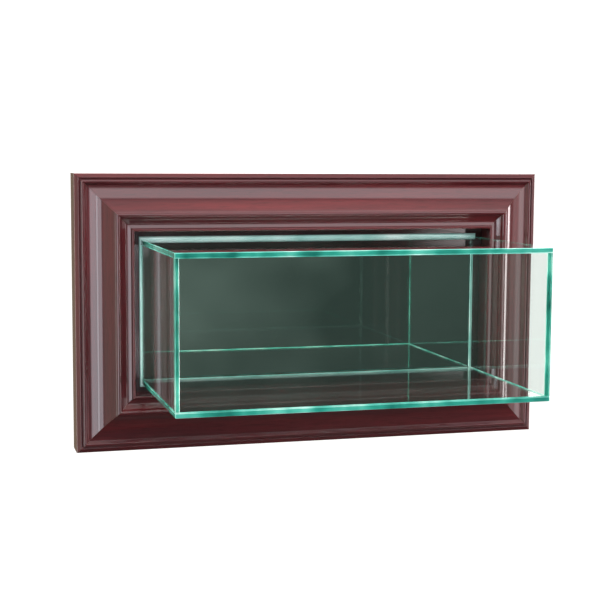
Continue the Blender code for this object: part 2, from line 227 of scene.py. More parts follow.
def wood_colour(
    tree: Tree,
    figure: Socket,
    tones: dict[float, str],
    pores: Socket,
    dashes: dict[float, str],
    depth: float,
) -> Socket:
    """Lays the dark dashes of the pores over the wood's figure.

    Args:
        tree: the node tree.
        figure: the broad pattern of the grain.
        tones: places in the figure, each with its hex colour.
        pores: the fine pattern of the pores.
        dashes: places in the pores, each with its hex shade.
        depth: how dark the dashes are, from 0 to 1.

    Returns:
        The wood's colour.
    """
    inputs = {
        "Factor": depth,
        "A": add_node(tree, "ValToRGB", {"Fac": figure}, stops=tones),
        "B": add_node(tree, "ValToRGB", {"Fac": pores}, stops=dashes),
    }
    return add_node(tree, "Mix", inputs, data_type="RGBA", blend_type="MULTIPLY")


# Finishes


@dataclass(frozen=True)
class CherryLacquer:
    """Cherry-stained hardwood under sprayed gloss polyurethane."""

    # The stain pools in the pores, so fine dark dashes run along each length. The clear coat
    # over them is almost flat, with a faint orange peel, and mirrors the lights. Real pores
    # are about 0.2 mm wide, too fine to show, so they are drawn at 0.5 mm.
    grain: Axis
    pool: str = "#421319"
    stain: str = "#50161B"
    flame: str = "#621D21"
    pore_mm: float = 0.5
    figure_mm: float = 9.0
    peel_mm: float = 6.0
    peel_depth_mm: float = 0.008
    run: float = 22.0
    dash_depth: float = 0.35

    def material(self) -> Material:
        """Builds the material.

        Returns:
            The lacquer, with its grain along one axis.
        """
        material, tree = new_material(f"cherry_lacquer_{self.grain.name.lower()}")
        along = grain_run(self.grain, self.run)
        figure = pattern(tree, self.figure_mm, along, 4.0, 0.6)
        pores = pattern(tree, self.pore_mm, along, 2.0)
        tones = {0.30: self.pool, 0.52: self.stain, 0.75: self.flame}
        dashes = {0.34: "#6E6E6E", 0.46: "#FFFFFF"}
        peel = {
            "Height": pattern(tree, self.peel_mm, detail=1.0),
            "Distance": self.peel_depth_mm * MM,
            "Strength": 0.3,
        }
        sheen = {"Value": pores, "To Min": 0.38, "To Max": 0.50}
        lacquer = {
            "Base Color": wood_colour(tree, figure, tones, pores, dashes, self.dash_depth),
            "Roughness": add_node(tree, "MapRange", sheen),
            "Specular IOR Level": 0.12,
            "Coat Weight": 1.0,
            "Coat Roughness": 0.05,
            "Coat IOR": 1.50,
            "Coat Normal": add_node(tree, "Bump", peel),
        }
        shader = add_node(tree, "BsdfPrincipled", lacquer)
        add_node(tree, "OutputMaterial", {"Surface": shader})
        return material


@dataclass(frozen=True)
class BareWood:
    """Planed hardwood without finish, on the moulding's back and in its rabbets."""

    # Dry and matt: pale early wood, darker late wood, and open pores that catch the light as
    # small dents. The pores are drawn at 0.45 mm, about twice their real width, to show.
    grain: Axis
    early: str = "#B08A5E"
    late: str = "#8C6740"
    figure_mm: float = 3.0
    pore_mm: float = 0.45
    pore_depth_mm: float = 0.06
    run: float = 26.0
    dash_depth: float = 0.8

    def material(self) -> Material:
        """Builds the material.

        Returns:
            The bare wood, with its grain along one axis.
        """
        material, tree = new_material(f"bare_wood_{self.grain.name.lower()}")
        along = grain_run(self.grain, self.run)
        figure = pattern(tree, self.figure_mm, along, 5.0, 0.65)
        pores = pattern(tree, self.pore_mm, along, 2.0)
        tones = {0.28: self.late, 0.60: self.early}
        dashes = {0.30: "#7A6A58", 0.44: "#FFFFFF"}
        dents = {"Height": pores, "Distance": self.pore_depth_mm * MM, "Strength": 0.5}
        sheen = {"Value": figure, "To Min": 0.62, "To Max": 0.78}
        wood = {
            "Base Color": wood_colour(tree, figure, tones, pores, dashes, self.dash_depth),
            "Roughness": add_node(tree, "MapRange", sheen),
            "Normal": add_node(tree, "Bump", dents),
        }
        shader = add_node(tree, "BsdfPrincipled", wood)
        add_node(tree, "OutputMaterial", {"Surface": shader})
        return material


@dataclass(frozen=True)
class ClearGlass:
    """The broad faces of 3.2 mm float glass."""

    # Float glass is drawn flat on molten tin, so its faces are clear and sharp, and only a
    # faint green comes from its depth. A wiped haze 60 mm wide softens the reflections.
    tint: str = "#FAFEFC"
    shade: str = "#E3F2EC"
    ior: float = 1.52
    smear_mm: float = 60.0

    def material(self) -> Material:
        """Builds the material. Lamps shine straight through, as they nearly do in the pane.

        Returns:
            The clear glass.
        """
        material, tree = new_material("float_glass_face")
        smear = pattern(tree, self.smear_mm, detail=2.0)
        haze = {"Value": smear, "To Min": 0.0, "To Max": 0.012}
        pane = {
            "Base Color": linear(self.tint),
            "Roughness": add_node(tree, "MapRange", haze),
            "IOR": self.ior,
            "Transmission Weight": 1.0,
        }
        glass = add_node(tree, "BsdfPrincipled", pane)
        clear = add_node(tree, "BsdfTransparent", {"Color": linear(self.shade)})
        lamp_ray = add_node(tree, "LightPath", out="Is Shadow Ray")
        both = add_node(tree, "MixShader", {0: lamp_ray, 1: glass, 2: clear})
        add_node(tree, "OutputMaterial", {"Surface": both})
        return material


@dataclass(frozen=True)
class GlassEdge:
    """The cut edge of float glass, ground or polished, or a bead of clear sealant."""

    # The edge's colour is lit with a painted glow: emission that stands in for the light that
    # runs along the pane and turns green from the iron in the glass, so the edge looks lit from
    # inside. The streaks are painted reflections of what lies in front of and behind the pane.
    name: str
    deep: str
    body: str
    bright: str
    glow: float
    reflection_streak_mm: float = 5.0

    def material(self) -> Material:
        """Builds the material.

        Returns:
            The glass edge.
        """
        material, tree = new_material(self.name)
        # Painted reflections: pale streaks laid into the edge's colour.
        painted_reflection_streaks = pattern(tree, self.reflection_streak_mm, (4.0, 4.0, 4.0), 2.0, 0.4)
        stops = {0.30: self.deep, 0.50: self.body, 0.72: self.bright}
        colour = add_node(tree, "ValToRGB", {"Fac": painted_reflection_streaks}, stops=stops)
        edge = {
            "Base Color": colour,
            "Roughness": 0.16,
            "IOR": 1.52,
            # A painted glow: the edge emits its own colour, though it is no lamp.
            "Emission Color": colour,
            "Emission Strength": self.glow,
            "Coat Weight": 0.6,
            "Coat Roughness": 0.06,
        }
        shader = add_node(tree, "BsdfPrincipled", edge)
        add_node(tree, "OutputMaterial", {"Surface": shader})
        return material


@dataclass(frozen=True)
class Silvering:
    """Mirror glass, silvered by a chemical bath."""

    # A sharp mirror with a faint green cast from the glass in front of the silver, and a
    # wiped haze 40 mm wide.
    tint: str = "#C9D6CF"
    smear_mm: float = 40.0

    def material(self) -> Material:
        """Builds the material.

        Returns:
            The mirror's face.
        """
        material, tree = new_material("silvered_mirror")
        haze = pattern(tree, self.smear_mm, detail=2.0)
        sheen = {"Value": haze, "To Min": 0.0, "To Max": 0.02}
        silver = {
            "Base Color": linear(self.tint),
            "Metallic": 1.0,
            "Roughness": add_node(tree, "MapRange", sheen),
        }
        shader = add_node(tree, "BsdfPrincipled", silver)
        add_node(tree, "OutputMaterial", {"Surface": shader})
        return material


@dataclass(frozen=True)
class MattSurface:
    """A matt surface with a fine texture: sprayed backing paint, moulded rubber or board."""

    # Fine specks vary the tone a little and scatter the light, so it has no clear highlight.
    name: str
    dark: str
    light: str
    speck_mm: float
    relief_mm: float
    smooth: float
    rough: float

    def material(self) -> Material:
        """Builds the material.

        Returns:
            The matt surface.
        """
        material, tree = new_material(self.name)
        speck = pattern(tree, self.speck_mm, detail=4.0, roughness=0.7)
        tones = {0.35: self.dark, 0.65: self.light}
        sheen = {"Value": speck, "To Min": self.smooth, "To Max": self.rough}
        relief = {"Height": speck, "Distance": self.relief_mm * MM, "Strength": 0.6}
        coat = {
            "Base Color": add_node(tree, "ValToRGB", {"Fac": speck}, stops=tones),
            "Roughness": add_node(tree, "MapRange", sheen),
            "Normal": add_node(tree, "Bump", relief),
        }
        shader = add_node(tree, "BsdfPrincipled", coat)
        add_node(tree, "OutputMaterial", {"Surface": shader})
        return material


@dataclass(frozen=True)
class PlatedSteel:
    """Stamped or bent steel with a thin bright plate."""

    # Bright where it is rubbed and a little dull between, with fine drawing lines along the
    # strip. The lines are drawn a quarter of the rub's size apart, coarse enough to show.
    name: str
    dull: str
    bright: str
    rub_mm: float = 0.9
    smooth: float = 0.18
    rough: float = 0.38

    def material(self) -> Material:
        """Builds the material.

        Returns:
            The plated steel.
        """
        material, tree = new_material(self.name)
        mottle = pattern(tree, self.rub_mm * 4, detail=4.0, roughness=0.6)
        lines = pattern(tree, self.rub_mm * 0.25, (14.0, 1.0, 1.0), detail=2.0)
        tones = {0.30: self.dull, 0.65: self.bright}
        sheen = {"Value": mottle, "To Min": self.smooth, "To Max": self.rough}
        relief = {"Height": lines, "Distance": 0.01 * MM, "Strength": 0.35}
        plate_sockets = {
            "Base Color": add_node(tree, "ValToRGB", {"Fac": mottle}, stops=tones),
            "Metallic": 1.0,
            "Roughness": add_node(tree, "MapRange", sheen),
            "Normal": add_node(tree, "Bump", relief),
        }
        shader = add_node(tree, "BsdfPrincipled", plate_sockets)
        add_node(tree, "OutputMaterial", {"Surface": shader})
        return material


# Shapes


def link_object(name: str, data: bpy.types.ID) -> bpy.types.Object:
    """Links a new object to the scene.

    Args:
        name: the object's name.
        data: its mesh, curve or camera.

    Returns:
        The new object.
    """
    item = bpy.data.objects.new(name, data)
    bpy.context.scene.collection.objects.link(item)
    return item


def to_mesh(shape: bmesh.types.BMesh, name: str) -> Mesh:
    """Turns a working shape into a mesh and frees it.

    Args:
        shape: the working shape.
        name: the mesh's name.

    Returns:
        The mesh.
    """
    mesh = bpy.data.meshes.new(name)
    shape.to_mesh(mesh)
    shape.free()
    return mesh


def evaluated_mesh(item: bpy.types.Object) -> Mesh:
    """Reads an object's mesh with its modifiers applied, then removes the object.

    Args:
        item: an object linked to the scene.

    Returns:
        The new mesh.
    """
    bpy.context.view_layer.update()
    ready = item.evaluated_get(bpy.context.evaluated_depsgraph_get())
    mesh = bpy.data.meshes.new_from_object(ready)
    bpy.data.objects.remove(item)
    return mesh


def welded(mesh: Mesh) -> Mesh:
    """Merges a mesh's doubled points and points its faces outwards.

    Args:
        mesh: the mesh, which is changed in place.

    Returns:
        The same mesh.
    """
    shape = bmesh.new()
    shape.from_mesh(mesh)
    bmesh.ops.remove_doubles(shape, verts=shape.verts, dist=1e-7)
    bmesh.ops.recalc_face_normals(shape, faces=shape.faces)
    shape.to_mesh(mesh)
    shape.free()
    return mesh


def smooth(mesh: Mesh, angle: float = 32.0) -> Mesh:
    """Shades a mesh smooth, apart from edges sharper than an angle.

    Args:
        mesh: the mesh, which is changed in place.
        angle: the angle in degrees.

    Returns:
        The same mesh.
    """
    mesh.shade_smooth()
    mesh.set_sharp_from_angle(angle=radians(angle))
    return mesh


def skin(
    shape: bmesh.types.BMesh, first: list[bmesh.types.BMVert], second: list[bmesh.types.BMVert]
) -> list[bmesh.types.BMFace]:
    """Joins two rings of points with a band of faces.

    Args:
        shape: the working shape that holds both rings.
        first: the points of one ring.
        second: as many points of the other.

    Returns:
        The faces, each from one point of the ring to the next.
    """
    faces = []
    count = len(first)
    for i in range(count):
        j = (i + 1) % count
        faces.append(shape.faces.new((first[i], first[j], second[j], second[i])))
    return faces


def closed_curve(
    name: str, dimensions: str, outlines: list[list[tuple[float, float, float]]]
) -> bpy.types.Curve:
    """Makes a curve of closed outlines.

    Args:
        name: the curve's name.
        dimensions: "2D" or "3D".
        outlines: the points of each outline.

    Returns:
        The curve.
    """
    curve = bpy.data.curves.new(name, "CURVE")
    curve.dimensions = dimensions
    for outline in outlines:
        spline = curve.splines.new("POLY")
        spline.points.add(len(outline) - 1)
        for point, place in zip(spline.points, outline):
            point.co = (*place, 1.0)
        spline.use_cyclic_u = True
    return curve


def plate(outlines: list[list[Vector]], thickness: float, ease: float) -> Mesh:
    """Cuts a plate in the local XY plane, centred on it, with rounded edges.

    Args:
        outlines: the outer outline, then any holes.
        thickness: the plate's full thickness.
        ease: the radius of its edges.

    Returns:
        The plate's mesh.
    """
    flat = [[(p.x, p.y, 0.0) for p in outline] for outline in outlines]
    curve = closed_curve("plate", "2D", flat)
    curve.fill_mode = "BOTH"
    curve.extrude = thickness / 2
    mesh = welded(evaluated_mesh(link_object("scratch", curve)))
    item = link_object("scratch", mesh)
    bevel = item.modifiers.new("eased", "BEVEL")
    bevel.width = ease
    bevel.segments = 3
    bevel.limit_method = "ANGLE"
    bevel.angle_limit = radians(50)
    return smooth(evaluated_mesh(item), 40.0)


def turned(profile: list[tuple[float, float]], steps: int) -> Mesh:
    """Turns a profile about local Z.

    Args:
        profile: (radius, z) points, from top to bottom.
        steps: how many steps make a full turn.

    Returns:
        The turned mesh.
    """
    mesh = bpy.data.meshes.new("turned")
    edges = [(i, i + 1) for i in range(len(profile) - 1)]
    mesh.from_pydata([(r, 0.0, z) for r, z in profile], edges, [])
    item = link_object("scratch", mesh)
    screw = item.modifiers.new("turn", "SCREW")
    screw.steps = steps
    screw.render_steps = steps
    screw.use_merge_vertices = True
    screw.merge_threshold = 1e-7
    return smooth(welded(evaluated_mesh(item)))


def eased_block(low: Vector, high: Vector, ease: float, segments: int = 2) -> Mesh:
    """Makes a block between two corners, with rounded edges.

    Args:
        low: its lowest corner.
        high: its highest corner.
        ease: the width of the rounding.
        segments: how many facets the rounding has.

    Returns:
        The block's mesh.
    """
    shape = bmesh.new()
    size = high - low
    place = Matrix.Translation((low + high) / 2) @ Matrix.Diagonal((*size, 1.0))
    bmesh.ops.create_cube(shape, size=1.0, matrix=place)
    bmesh.ops.bevel(
        shape,
        geom=shape.edges[:],
        offset=ease,
        segments=segments,
        profile=0.5,
        affect="EDGES",
        clamp_overlap=True,
    )
    return smooth(to_mesh(shape, "block"), 50.0)


def arc(centre: Vector, radius: float, start: float, end: float, steps: int) -> list[Vector]:
    """Points on an arc, both ends included.

    Args:
        centre: the arc's centre.
        radius: its radius.
        start: the angle it starts at, in degrees.
        end: the angle it ends at, in degrees.
        steps: how many steps it is cut into.

    Returns:
        The points.
    """
    points = []
    for k in range(steps + 1):
        angle = radians(start + (end - start) * k / steps)
        points.append(centre + Vector((cos(angle), sin(angle))) * radius)
    return points


def facing_wall(place: Vector, pointing: float = 0.0) -> Matrix:
    """Turns local +Z to the wall and local +X to an angle from +X towards +Z, in degrees."""
    turn = Matrix.Rotation(-radians(pointing), 4, "Y")
    return Matrix.Translation(place) @ turn @ Matrix.Rotation(-pi / 2, 4, "X")


def add_piece(
    name: str,
    mesh: Mesh,
    materials: list[Material],
    body: str,
    nodes: list[str],
) -> None:
    """Adds a finished piece that stands for CAD nodes and rides on their body.

    Args:
        name: the piece's name.
        mesh: its mesh, in the row frame.
        materials: one for each material slot of the mesh.
        body: the CAD body that it rides on.
        nodes: the CAD nodes that it replaces.
    """
    item = link_object(name, mesh)
    for material in materials:
        mesh.materials.append(material)
    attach(item, body)
    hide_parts(*nodes)
    log.info("%s: %d faces on %s", name, len(mesh.polygons), body)


def corners(node: str) -> tuple[Vector, Vector]:
    """The lowest and highest corner of a CAD node, as vectors."""
    low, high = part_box(node)
    return Vector(low), Vector(high)


def hinge_points() -> dict[str, Vector]:
    """Where each moving body's hinge lies, by the body's name."""
    return {joint["child"]: Vector(joint["pos_m"]) for joint in frame["joints"]}


# Sub-assemblies


@dataclass
class MouldingSection:
    """The cove moulding's section, in millimetres.

    Each corner is an inset from the outer edge, a height in front of the seat plane and a
    radius. Between the two groups of corners runs the cove, a hollow arc.
    """

    outer_corners: tuple[tuple[float, float, float], ...] = (
        (0.0, -16.0, 0.4),
        (0.0, 5.7, 1.3),
        (3.4, 7.5, 0.5),
        (3.6, 6.4, 0.3),
        (4.9, 6.4, 0.3),
        (5.1, 8.9, 0.8),
        (6.7, 8.9, 0.8),
        (8.7, 7.0, 0.4),
        (9.8, 7.1, 0.4),
    )
    inner_corners: tuple[tuple[float, float, float], ...] = (
        (29.7, 19.7, 2.2),
        (32.4, 15.0, 1.6),
        (36.0, 12.6, 2.6),
        (39.6, 13.4, 0.5),
        (39.9, 16.4, 0.7),
        (41.7, 16.4, 0.8),
        (41.7, 0.0, 0.15),
        (31.0, 0.0, 0.0),
        (31.0, -9.9, 0.15),
        (20.0, -9.9, 0.0),
        (20.0, -16.0, 0.2),
    )
    cove_start: tuple[float, float] = (9.8, 7.1)
    cove_end: tuple[float, float] = (27.6, 15.6)
    cove_radius: float = 30.0
    cove_steps: int = 40
    fillet_step: float = 6.0
    front_above: float = 0.1
    side_within: float = 0.6

    def cove(self) -> list[tuple[float, float, float]]:
        """Cuts the cove into points.

        Returns:
            The points after its start, each without a radius.
        """
        start, end = Vector(self.cove_start), Vector(self.cove_end)
        chord = end - start
        across = Vector((-chord.y, chord.x)).normalized()
        rise = (self.cove_radius**2 - (chord.length / 2) ** 2) ** 0.5
        centre = (start + end) / 2 + across * rise
        first = start - centre
        turn = -first.angle_signed(end - centre)
        points = []
        for k in range(1, self.cove_steps + 1):
            spoke = Matrix.Rotation(turn * k / self.cove_steps, 2) @ first
            points.append((*(centre + spoke), 0.0))
        return points

    def outline(self) -> list[Vector]:
        """Rounds every corner of the section.

        Returns:
            The closed outline's points, in metres.
        """
        bends = [*self.outer_corners, *self.cove(), *self.inner_corners]
        points = []
        for i, (inset, height, radius) in enumerate(bends):
            corner = Vector((inset, height))
            if radius == 0:
                points.append(corner * MM)
                continue
            before = (Vector(bends[i - 1][:2]) - corner).normalized()
            after = (Vector(bends[(i + 1) % len(bends)][:2]) - corner).normalized()
            half = before.angle(after) / 2
            reach = radius * cos(half) / sin(half)
            centre = corner + (before + after).normalized() * (radius / sin(half))
            start = corner + before * reach - centre
            turn = -start.angle_signed(corner + after * reach - centre)
            steps = max(3, int(abs(turn) / radians(self.fillet_step)))
            for k in range(steps + 1):
                spoke = Matrix.Rotation(turn * k / steps, 2) @ start
                points.append((centre + spoke) * MM)
        return points

    def face_kind(self, a: Vector, b: Vector) -> WoodFace:
        """Tells lacquered front and side faces from the bare ones behind.

        Args:
            a: one end of the face in the outline.
            b: its other end.

        Returns:
            The face's material slot.
        """
        behind = max(a.y, b.y) < self.front_above * MM
        outer_side = max(a.x, b.x) < self.side_within * MM
        return WoodFace.BARE if behind and not outer_side else WoodFace.LACQUERED


@dataclass
class MouldingFrame:
    """Four lengths of cove moulding, mitred and drawn tight at the corners."""

    half_width: float
    half_height: float
    seat_y: float
    section: MouldingSection
    mitre_gap: float = 0.12 * MM

    @classmethod
    def from_frame(cls) -> "MouldingFrame":
        """Reads the frame's size from the CAD nodes.

        Returns:
            The moulding frame.
        """
        outer_left = corners("left_stile")[0].x
        top = corners("top_rail")[1].z
        seat = corners("glass_top")[1].y
        return cls(-outer_left, top, seat, MouldingSection())

    def length_mesh(self, half_length: float, out: float) -> Mesh:
        """Sweeps the section along X and cuts it at 45 degrees.

        Args:
            half_length: half the length along the outer edge.
            out: how far the outer edge is from the frame's middle.

        Returns:
            The mesh, with a material slot for each WoodFace.
        """
        outline = self.section.outline()
        shape = bmesh.new()
        rings = []
        for side in (-1, 1):
            ring = []
            for p in outline:
                x = side * (half_length - p.x - self.mitre_gap / 2)
                ring.append(shape.verts.new((x, self.seat_y - p.y, out - p.x)))
            rings.append(ring)
        for i, face in enumerate(skin(shape, *rings)):
            kind = self.section.face_kind(outline[i], outline[(i + 1) % len(outline)])
            face.material_index = kind.value
        for ring in rings:
            shape.faces.new(ring).material_index = WoodFace.BARE.value
        bmesh.ops.recalc_face_normals(shape, faces=shape.faces)
        return smooth(to_mesh(shape, "moulding"), 30.0)

    def build(self) -> None:
        """Builds the two rails and the two stiles."""
        lengths = {
            "top_rail": (self.half_width, self.half_height, 0, Axis.X),
            "left_stile": (self.half_height, self.half_width, 90, Axis.Z),
            "bottom_rail": (self.half_width, self.half_height, 180, Axis.X),
            "right_stile": (self.half_height, self.half_width, 270, Axis.Z),
        }
        finishes = {
            grain: [CherryLacquer(grain).material(), BareWood(grain).material()]
            for grain in (Axis.X, Axis.Z)
        }
        for node, (half_length, out, turn, grain) in lengths.items():
            mesh = self.length_mesh(half_length, out)
            mesh.transform(Matrix.Rotation(-radians(turn), 4, "Y"))
            wood = finishes[grain]
            add_piece(f"{node}_moulding", mesh, wood, "root", [node])


@dataclass
class GlassHood:
    """Five bonded panes: full top and bottom, the front between them, the sides behind it."""

    low: Vector
    high: Vector
    pane: float
    arris: float = 0.35 * MM
    seam: float = 0.06 * MM
    bead_beside: float = 1.3 * MM
    bead_above: float = 2.4 * MM
    bead_forward: float = 1.5 * MM
    bead_steps: int = 8

    @classmethod
    def from_frame(cls) -> "GlassHood":
        """Reads the hood's size from the CAD nodes.

        Returns:
            The hood.
        """
        bottom_low, bottom_high = corners("glass_bottom")
        top_high = corners("glass_top")[1]
        return cls(bottom_low, top_high, bottom_high.z - bottom_low.z)

    def pane_mesh(self, low: Vector, high: Vector, thin: Axis) -> Mesh:
        """Cuts one pane and grinds its arrises.

        Args:
            low: its lowest corner.
            high: its highest corner.
            thin: the axis across its thickness.

        Returns:
            The mesh, with a material slot for each PaneFace.
        """
        mesh = eased_block(low, high, self.arris, 1)
        for face in mesh.polygons:
            along = max(range(3), key=lambda k: abs(face.normal[k]))
            if abs(face.normal[along]) < 0.95:
                kind = PaneFace.ARRIS
            elif along == thin.value:
                kind = PaneFace.BROAD
            elif along == Axis.Y.value and face.normal.y > 0:
                kind = PaneFace.REAR
            else:
                kind = PaneFace.EDGE
            face.material_index = kind.value
            face.use_smooth = False
        return mesh

    def bead_mesh(self) -> Mesh:
        """Runs a small bead of sealant round the hood, where it meets the seat strips.

        Returns:
            The bead's mesh.
        """
        section = []
        for k in range(self.bead_steps + 1):
            angle = pi / 2 * k / self.bead_steps
            section.append((cos(angle), self.bead_forward * sin(angle)))
        section.append((0.0, 0.0))
        low, high, seat = self.low, self.high, self.high.y
        shape = bmesh.new()
        rings = []
        for side_x, side_z in ((-1, -1), (1, -1), (1, 1), (-1, 1)):
            ring = []
            for out, forward in section:
                x = (high.x if side_x > 0 else low.x) + side_x * out * self.bead_beside
                z = (high.z if side_z > 0 else low.z) + side_z * out * self.bead_above
                ring.append(shape.verts.new((x, seat - forward, z)))
            rings.append(ring)
        for first, second in zip(rings, rings[1:] + rings[:1]):
            skin(shape, first, second)
        bmesh.ops.recalc_face_normals(shape, faces=shape.faces)
        return smooth(to_mesh(shape, "bead"), 50.0)

    def build(self) -> None:
        """Builds the five panes and the bead that seals them."""
        low, high, pane, seam = self.low, self.high, self.pane, self.seam
        between = pane + seam
        panes = {
            "glass_top": (Vector((low.x, low.y, high.z - pane)), high, Axis.Z),
            "glass_bottom": (low, Vector((high.x, high.y, low.z + pane)), Axis.Z),
            "glass_front": (
                Vector((low.x, low.y, low.z + between)),
                Vector((high.x, low.y + pane, high.z - between)),
                Axis.Y,
            ),
            "glass_left": (
                Vector((low.x, low.y + between, low.z + between)),
                Vector((low.x + pane, high.y, high.z - between)),
                Axis.X,
            ),
            "glass_right": (
                Vector((high.x - pane, low.y + between, low.z + between)),
                Vector((high.x, high.y, high.z - between)),
                Axis.X,
            ),
        }
        # In the order of PaneFace: the drawn faces, the polished edge, which shows deep green,
        # the ground arris, paler from its grinding and from a painted highlight, and the bonded
        # edge, palest of all: a painted bright line with the strongest painted glow.
        finishes = [
            ClearGlass().material(),
            GlassEdge("polished_edge", "#0F6A5E", "#2C9C89", "#62CDB9", 0.04).material(),
            GlassEdge("ground_arris", "#1F8C7C", "#6CCFC0", "#CFF6EE", 0.08).material(),
            GlassEdge("bonded_rear_edge", "#79C4B8", "#B4E4DC", "#E6FBF6", 0.40).material(),
        ]
        for node, (pane_low, pane_high, thin) in panes.items():
            mesh = self.pane_mesh(pane_low, pane_high, thin)
            add_piece(f"{node}_pane", mesh, finishes, "root", [node])
        # Clear silicone, tooled wet: a soft pale line, with a painted glow that stands in for
        # the light of the glass.
        sealant = GlassEdge("clear_sealant", "#8FC9C2", "#BFE6E1", "#EAFBF9", 0.12, 9.0)
        finish = [sealant.material()]
        outer = ["glass_top", "glass_bottom", "glass_left", "glass_right"]
        add_piece("seat_bead", self.bead_mesh(), finish, "root", outer)


@dataclass
class MirrorBack:
    """The mirror, the strips that seat the hood round it, and the board behind."""

    mirror_grow: float = 0.15 * MM
    mirror_ease: float = 0.4 * MM
    strip_grow: float = 0.12 * MM
    strip_ease: float = 0.15 * MM
    board_ease: float = 0.5 * MM

    def build(self) -> None:
        """Builds the mirror, the four seat strips and the board."""
        self.build_mirror()
        for level in Level:
            self.build_strip(f"seat_strip_{level.value}", Axis.X)
        for side in Side:
            self.build_strip(f"seat_strip_{side.value}", Axis.Z)
        # Pressed fibreboard: a brown matt sheet with a fine fleck of fibres.
        board = MattSurface("fibreboard", "#8A6B4A", "#A5845E", 0.8, 0.05, 0.62, 0.85)
        mesh = eased_block(*corners("back_board"), self.board_ease)
        finish = [board.material()]
        add_piece("back_board_panel", mesh, finish, "root", ["back_board"])

    def build_mirror(self) -> None:
        """Builds the mirror, with a material slot for each MirrorFace."""
        low, high = corners("mirror_panel")
        grow = Vector((self.mirror_grow, 0.0, self.mirror_grow))
        mesh = eased_block(low - grow, high + grow, self.mirror_ease, 1)
        for face in mesh.polygons:
            face.use_smooth = False
            kind = MirrorFace.EDGE
            if face.normal.y < -0.95:
                kind = MirrorFace.SILVERED
            elif face.normal.y > 0.95:
                kind = MirrorFace.PAINTED
            face.material_index = kind.value
        # Sprayed grey backing paint, dull and even, which keeps damp off the silver.
        backing = MattSurface("mirror_backing", "#5B6062", "#6C7274", 0.5, 0.02, 0.45, 0.60)
        # The mirror's cut edge: green glass with a faint painted glow and painted reflection
        # streaks.
        edge = GlassEdge("mirror_edge", "#1E4F47", "#3B7F73", "#7DB8AC", 0.05)
        finishes = [Silvering().material(), edge.material(), backing.material()]
        add_piece("mirror_sheet", mesh, finishes, "root", ["mirror_panel"])

    def build_strip(self, node: str, grain: Axis) -> None:
        """Builds one seat strip, in a cherry much darker than the moulding's.

        Args:
            node: the strip's CAD node.
            grain: the axis its grain runs along.
        """
        low, high = corners(node)
        grow = Vector([self.strip_grow if axis is grain else 0.0 for axis in Axis])
        strip = CherryLacquer(grain, "#1E0A0B", "#341215", "#42181A")
        mesh = eased_block(low - grow, high + grow, self.strip_ease)
        add_piece(f"{node}_wood", mesh, [strip.material()], "root", [node])


@dataclass
class CrossHeadScrew:
    """A wood screw with a domed head and a cross recess, about local Z from z = 0 down.

    rim, recess_reach, recess_floor and recess_taper are shares of the head's size.
    """

    head_radius: float
    head_height: float
    length: float
    shank_radius: float = 1.45 * MM
    point: float = 2.2 * MM
    rim: float = 0.22
    recess_width: float = 0.8 * MM
    recess_reach: float = 0.60
    recess_floor: float = 0.30
    recess_taper: float = 0.55
    dome_steps: int = 12
    turn_steps: int = 48

    def mesh(self) -> Mesh:
        """Turns the screw and cuts its cross recess.

        Returns:
            The screw's mesh.
        """
        profile = [(0.0, self.head_height)]
        for k in range(1, self.dome_steps + 1):
            angle = pi / 2 * (1 - k / self.dome_steps)
            z = self.head_height * (self.rim + (1 - self.rim) * sin(angle))
            profile.append((self.head_radius * cos(angle), z))
        profile += [
            (self.head_radius * 0.97, 0.0),
            (self.shank_radius, 0.0),
            (self.shank_radius, -self.length + self.point),
            (0.0, -self.length),
        ]
        item = link_object("scratch", turned(profile, self.turn_steps))
        cutter = link_object("scratch", self.recess_mesh())
        cut = item.modifiers.new("recess", "BOOLEAN")
        cut.operation = "DIFFERENCE"
        cut.solver = "EXACT"
        cut.object = cutter
        mesh = evaluated_mesh(item)
        bpy.data.objects.remove(cutter)
        return smooth(mesh, 35.0)

    def recess_mesh(self) -> Mesh:
        """Makes a tapering cross that reaches into the head.

        Returns:
            The cross's mesh.
        """
        reach = self.head_radius * self.recess_reach
        half = self.recess_width / 2
        outline = []
        for quarter in range(4):
            spin = Matrix.Rotation(quarter * pi / 2, 2)
            for corner in ((reach, -half), (reach, half), (half, half)):
                outline.append(spin @ Vector(corner))
        above, floor = self.head_height * 1.3, self.head_height * self.recess_floor
        shape = bmesh.new()
        top = [shape.verts.new((*p, above)) for p in outline]
        low = [shape.verts.new((*(p * self.recess_taper), floor)) for p in outline]
        skin(shape, top, low)
        shape.faces.new(top)
        shape.faces.new(low)
        bmesh.ops.recalc_face_normals(shape, faces=shape.faces)
        return to_mesh(shape, "recess")


